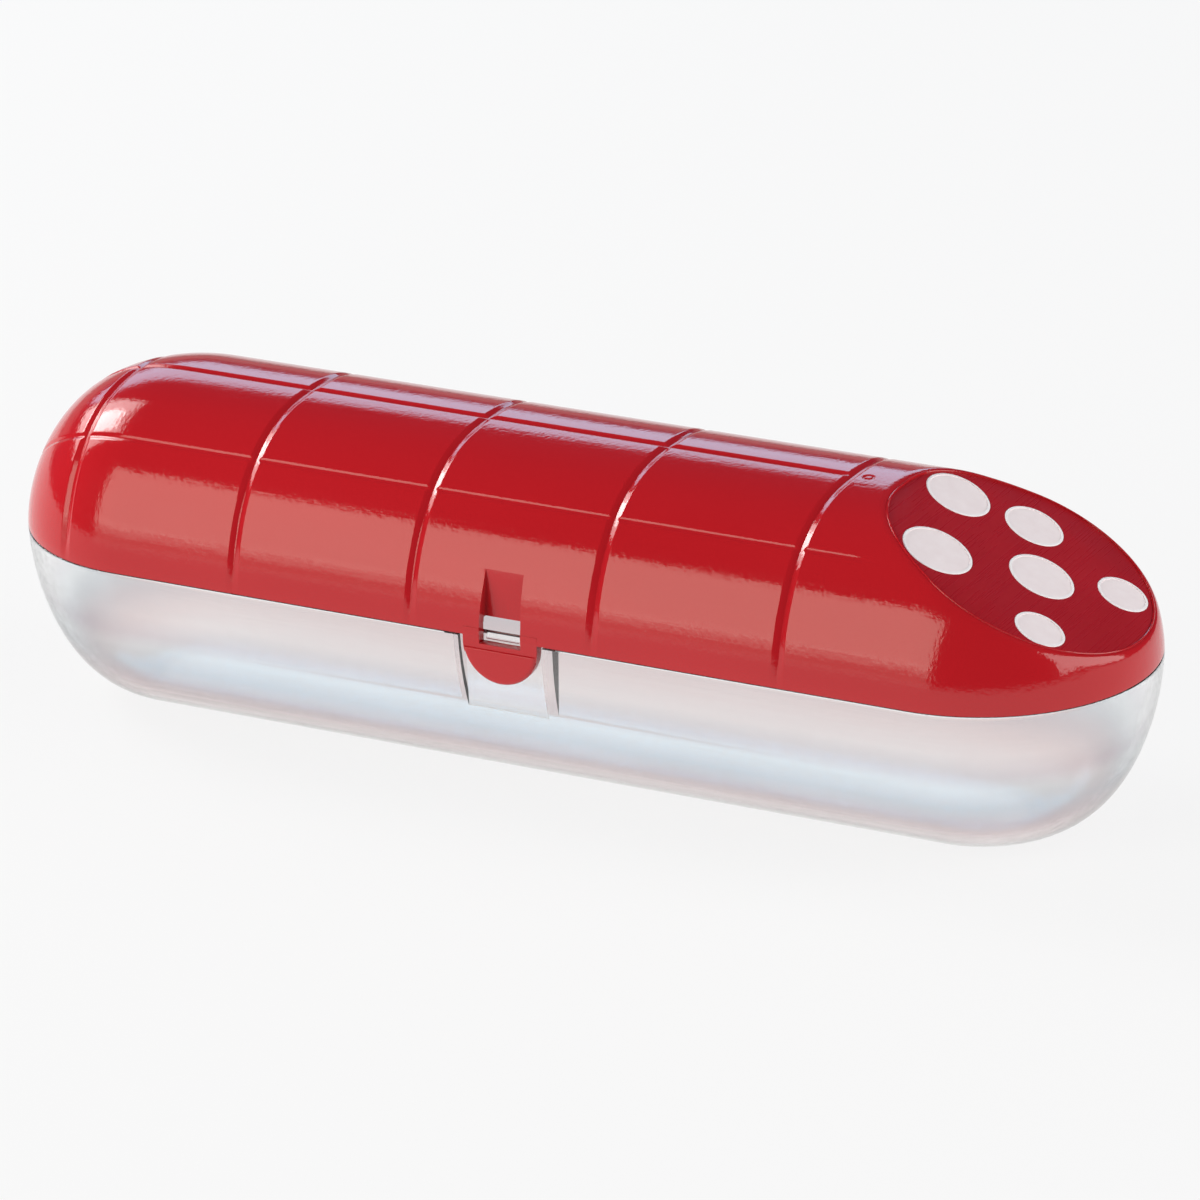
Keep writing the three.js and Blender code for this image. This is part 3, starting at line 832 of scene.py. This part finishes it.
class Finish:
    """A material around one Principled shader, with short ways to add and join nodes."""

    def __init__(self, name, **settings):
        self.material = bpy.data.materials.new(name)
        self.material.use_nodes = True
        self.tree = self.material.node_tree
        self.shader = self.tree.nodes["Principled BSDF"]
        self.set(**settings)
        self.place = self.node("ShaderNodeTexCoord").outputs["Object"]

    def set(self, **settings):
        for name, value in settings.items():
            self.join(value, self.shader.inputs[name.replace("_", " ")])

    def join(self, value, socket):
        if isinstance(value, bpy.types.NodeSocket):
            self.tree.links.new(value, socket)
        elif isinstance(value, tuple) and len(value) == 3 and socket.type == "RGBA":
            socket.default_value = (*value, 1)
        else:
            socket.default_value = value

    def node(self, kind, inputs=None, **settings):
        made = self.tree.nodes.new(kind)
        for name, value in settings.items():
            setattr(made, name, value)
        for name, value in (inputs or {}).items():
            self.join(value, made.inputs[name])
        return made

    def stretched(self, per_mm):
        """Object coordinates scaled so that one unit is the given number of repeats per millimetre."""
        scale = tuple(value / MM for value in per_mm)
        return self.node("ShaderNodeMapping", {"Vector": self.place, "Scale": scale}).outputs["Vector"]

    def noise(self, per_mm, detail):
        inputs = {"Vector": self.stretched(per_mm), "Scale": 1.0, "Detail": detail}
        return self.node("ShaderNodeTexNoise", inputs).outputs["Fac"]

    def ramp(self, noise, low, high):
        """Values from low to high over the middle range of a noise, where nearly all of it lies."""
        inputs = {"Value": noise, "From Min": 0.3, "From Max": 0.7, "To Min": low, "To Max": high}
        return self.node("ShaderNodeMapRange", inputs).outputs["Result"]

    def span(self, value, low, high):
        """How far a value is from low (0) to high (1)."""
        inputs = {"Value": value, "From Min": low, "From Max": high}
        return self.node("ShaderNodeMapRange", inputs).outputs["Result"]

    def mix(self, factor, first, second):
        made = self.node("ShaderNodeMix", data_type="RGBA")
        self.join(factor, made.inputs[0])
        self.join(first, made.inputs[6])
        self.join(second, made.inputs[7])
        return made.outputs[2]

    def bump(self, height, distance_mm, normal=None):
        inputs = {"Height": height, "Distance": distance_mm * MM}
        if normal is not None:
            inputs["Normal"] = normal
        return self.node("ShaderNodeBump", inputs).outputs["Normal"]


def red_finish():
    """Glossy moulded plastic with fine marks along the case from polishing the mould."""
    finish = Finish("red_moulded_plastic", IOR=1.5)
    streaks = finish.noise((0.03, 1.3, 1.3), detail=4)
    ripple = finish.noise((1.1, 0.7, 0.7), detail=3)
    waves = finish.noise((0.03, 0.09, 0.09), detail=2)
    tone = finish.noise((0.01, 0.03, 0.03), detail=2)
    normal = finish.bump(streaks, 0.012)
    normal = finish.bump(ripple, 0.04, normal=normal)
    normal = finish.bump(waves, 0.05, normal=normal)
    finish.set(
        Base_Color=finish.mix(finish.ramp(tone, 0, 1), (0.43, 0.0085, 0.0120), (0.465, 0.0105, 0.015)),
        Roughness=finish.ramp(streaks, 0.06, 0.11),
        Normal=normal,
    )
    return finish.material


def cut_face_finish():
    """Darker satin plastic with the fine lines of a machined face."""
    finish = Finish("cut_face_plastic", IOR=1.5)
    lines = finish.noise((1.8, 0.05, 0.1), detail=3)
    tone = finish.noise((0.04, 0.04, 0.04), detail=3)
    finish.set(
        Base_Color=finish.mix(finish.ramp(tone, 0, 1), (0.37, 0.0085, 0.014), (0.43, 0.012, 0.019)),
        Roughness=finish.ramp(lines, 0.22, 0.38),
        Normal=finish.bump(lines, 0.022),
    )
    return finish.material


def white_finish(name, low, high):
    """Satin warm white plastic with a faint mottle."""
    finish = Finish(name, IOR=1.48)
    mottle = finish.noise((0.35, 0.35, 0.35), detail=4)
    grain = finish.noise((4, 4, 4), detail=2)
    finish.set(
        Base_Color=finish.mix(finish.ramp(mottle, 0, 1), low, high),
        Roughness=finish.ramp(grain, 0.38, 0.50),
        Normal=finish.bump(grain, 0.006),
    )
    return finish.material


def clear_finish():
    """Clear styrene plastic with satin streaks along the case, and a colour that changes with height to
    paint in shade and reflections: a pinkish painted shade low down, standing in for the shaded floor
    tinted by the red lid's bounced light, and a bluish painted reflection band above it.
    """
    finish = Finish("clear_moulded_plastic", IOR=1.5, Transmission_Weight=1.0)
    streaks = finish.noise((0.02, 0.9, 0.9), detail=4)
    cloud = finish.noise((0.03, 0.08, 0.08), detail=2)
    height = finish.node("ShaderNodeSeparateXYZ", {"Vector": finish.place}).outputs["Z"]
    # A colour ramp by height paints shade and reflections into the clear plastic's colour.
    painted_shade_tint = finish.node("ShaderNodeValToRGB", {"Fac": finish.span(height, 0, SEAM * MM)})
    # Each stop is a share of the tray's height and its colour: pinkish painted shade low down, a darker
    # grey painted shade, a bluish painted reflection band, and plain clear white at the top.
    painted_shade_and_reflection_tones = [(0.0, (1.0, 0.985, 0.985)), (0.17, (0.82, 0.69, 0.68)), (0.29, (0.62, 0.54, 0.56)),
             (0.41, (0.62, 0.65, 0.68)), (0.54, (0.83, 0.87, 0.88)), (0.63, (0.83, 0.81, 0.84)),
             (0.76, (1.0, 1.0, 1.0))]
    ramp = painted_shade_tint.color_ramp
    ramp.elements[0].color = (*painted_shade_and_reflection_tones[0][1], 1)
    ramp.elements[1].color = (*painted_shade_and_reflection_tones[-1][1], 1)
    ramp.elements[1].position = painted_shade_and_reflection_tones[-1][0]
    for position, colour in painted_shade_and_reflection_tones[1:-1]:
        ramp.elements.new(position).color = (*colour, 1)
    plain_share = finish.ramp(cloud, 0.125, 0.25)
    # The painted shade and reflection colour, broken up by patches of plain clear colour.
    finish.set(
        Base_Color=finish.mix(plain_share, painted_shade_tint.outputs["Color"], (0.97, 0.98, 0.99)),
        Roughness=finish.ramp(streaks, 0.07, 0.16),
        Normal=finish.bump(streaks, 0.012),
    )
    return finish.material


def steel_finish():
    """Drawn steel rod with fine lines along it."""
    finish = Finish("drawn_steel", Metallic=1.0)
    lines = finish.noise((0.1, 6, 6), detail=3)
    finish.set(
        Base_Color=finish.mix(finish.ramp(lines, 0, 1), (0.50, 0.51, 0.52), (0.63, 0.64, 0.65)),
        Roughness=finish.ramp(lines, 0.22, 0.38),
        Normal=finish.bump(lines, 0.004),
    )
    return finish.material


# ---- Floor, light and camera ----

FLOOR = {"half": 6.0, "glow": 0.86, "albedo": 0.08}
SURROUNDINGS = (0.045, 0.055, 0.09)
# Each light panel: direction from the case (azimuth from the latch side towards +X, and elevation, in
# degrees), distance in metres, width and height in metres, radiance and colour. The fills light the case
# without showing in its gloss.
PANELS = {
    "front_softbox": {"towards": (-26, 24.5), "distance": 1.5, "size": (1.14, 0.84), "radiance": 3.2,
                      "colour": (1.0, 0.94, 0.81)},
    "front_skirt": {"towards": (-26, 7.5), "distance": 1.6, "size": (1.16, 0.13), "radiance": 1.95,
                    "colour": (1.0, 0.94, 0.82)},
    "front_card": {"towards": (-26, 2.5), "distance": 1.7, "size": (1.25, 0.22), "radiance": 1.0,
                   "colour": (1.0, 0.95, 0.84)},
    "left_key": {"towards": (-100, 33), "distance": 1.5, "size": (0.84, 0.82), "radiance": 4.6,
                 "colour": (1.0, 0.98, 0.97)},
    "left_core": {"towards": (-100, 35), "distance": 1.45, "size": (0.40, 0.44), "radiance": 9.0,
                  "colour": (1.0, 0.99, 0.98)},
    "rear_strip": {"towards": (-144, 21.0), "distance": 1.5, "size": (1.3, 0.30), "radiance": 2.9,
                   "colour": (0.40, 0.74, 0.97)},
    "rear_wash": {"towards": (-140, 6), "distance": 1.7, "size": (2.0, 0.30), "radiance": 0.4,
                  "colour": (1.0, 0.66, 0.60)},
    "right_card": {"towards": (98, 16), "distance": 1.5, "size": (1.4, 0.70), "radiance": 3.5,
                   "colour": (1.0, 0.96, 0.93)},
    "top_fill": {"towards": (100, 36), "distance": 2.2, "size": (2.0, 2.0), "radiance": 1.6,
                 "colour": (1.0, 1.0, 1.0)},
    "front_fill": {"towards": (-48, 14), "distance": 2.2, "size": (1.6, 1.0), "radiance": 3.8,
                   "colour": (1.0, 0.98, 0.96)},
}
CAMERA = {"azimuth": 27.80, "elevation": 22.146, "roll": -1.578, "distance": 1.68130,
          "aside": 0.00412, "above": -0.00477, "lens": 222.25, "sensor": 36}


def direction(azimuth, elevation):
    a, e = math.radians(azimuth), math.radians(elevation)
    return Vector((math.sin(a) * math.cos(e), -math.cos(a) * math.cos(e), math.sin(e)))


def add_floor():
    half = FLOOR["half"]
    mesh = bpy.data.meshes.new("floor")
    corners = [(-half, -half, 0), (half, -half, 0), (half, half, 0), (-half, half, 0)]
    mesh.from_pydata(corners, [], [(0, 1, 2, 3)])
    floor = bpy.data.objects.new("floor", mesh)
    bpy.context.scene.collection.objects.link(floor)
    albedo, glow = FLOOR["albedo"], FLOOR["glow"]
    finish = Finish("pale_floor", Base_Color=(albedo,) * 3, Roughness=1.0, Specular_IOR_Level=0.0,
                    Emission_Color=(1.0, 1.0, 1.0), Emission_Strength=glow)
    mesh.materials.append(finish.material)


def add_lights():
    aim = Vector((0, 0, SEAM * MM))
    for name, panel in PANELS.items():
        width, height = panel["size"]
        light = bpy.data.lights.new(name, "AREA")
        light.shape = "RECTANGLE"
        light.size, light.size_y = width, height
        light.energy = panel["radiance"] * math.pi * width * height
        light.color = panel["colour"]
        lamp = bpy.data.objects.new(name, light)
        bpy.context.scene.collection.objects.link(lamp)
        away = direction(*panel["towards"])
        lamp.location = aim + panel["distance"] * away
        lamp.rotation_euler = away.to_track_quat("Z", "Y").to_euler()
        lamp.visible_glossy = not name.endswith("_fill")


def add_world():
    world = bpy.data.worlds.new("surroundings")
    world.use_nodes = True
    background = world.node_tree.nodes["Background"]
    background.inputs["Color"].default_value = (*SURROUNDINGS, 1)
    bpy.context.scene.world = world


def add_camera():
    """A long lens from the latch side, a little above the case."""
    back = direction(CAMERA["azimuth"], CAMERA["elevation"])
    azimuth, roll = math.radians(CAMERA["azimuth"]), math.radians(CAMERA["roll"])
    level_right = Vector((math.cos(azimuth), math.sin(azimuth), 0))
    level_up = back.cross(level_right)
    right = level_right * math.cos(roll) + level_up * math.sin(roll)
    up = level_up * math.cos(roll) - level_right * math.sin(roll)
    place = Vector((0, 0, SEAM * MM)) + back * CAMERA["distance"]
    place += right * CAMERA["aside"] + up * CAMERA["above"]
    data = bpy.data.cameras.new("camera")
    data.lens = CAMERA["lens"]
    data.sensor_width = CAMERA["sensor"]
    camera = bpy.data.objects.new("camera", data)
    bpy.context.scene.collection.objects.link(camera)
    camera.matrix_world = Matrix.Translation(place) @ Matrix((right, up, back)).transposed().to_4x4()
    bpy.context.scene.camera = camera


# ---- The case ----


def assign(made, material, body, node):
    made.data.materials.clear()
    made.data.materials.append(material)
    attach(made, body)
    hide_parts(node)


def build_case():
    lid, cut_edge = make_lid()
    assign(lid, red_finish(), "lid", "lid_shell")
    assign(make_plate(cut_edge), cut_face_finish(), "lid", "cut_face_plate")
    ring = white_finish("white_inlay_ring", (0.95, 0.92, 0.915), (0.97, 0.945, 0.94))
    middle = white_finish("white_inlay_middle", (0.93, 0.835, 0.83), (0.97, 0.885, 0.88))
    for node, disc, in_dish in make_discs():
        assign(disc, ring, "lid", node)
        disc.data.materials.append(middle)
        disc.data.polygons.foreach_set("material_index", in_dish)
    assign(make_tray(), clear_finish(), "tray", "base_shell")
    steel = steel_finish()
    for node, pin in make_pins():
        assign(pin, steel, "tray", node)


add_camera()
add_floor()
add_lights()
add_world()
build_case()
bpy.context.scene.view_settings.view_transform = "Standard"
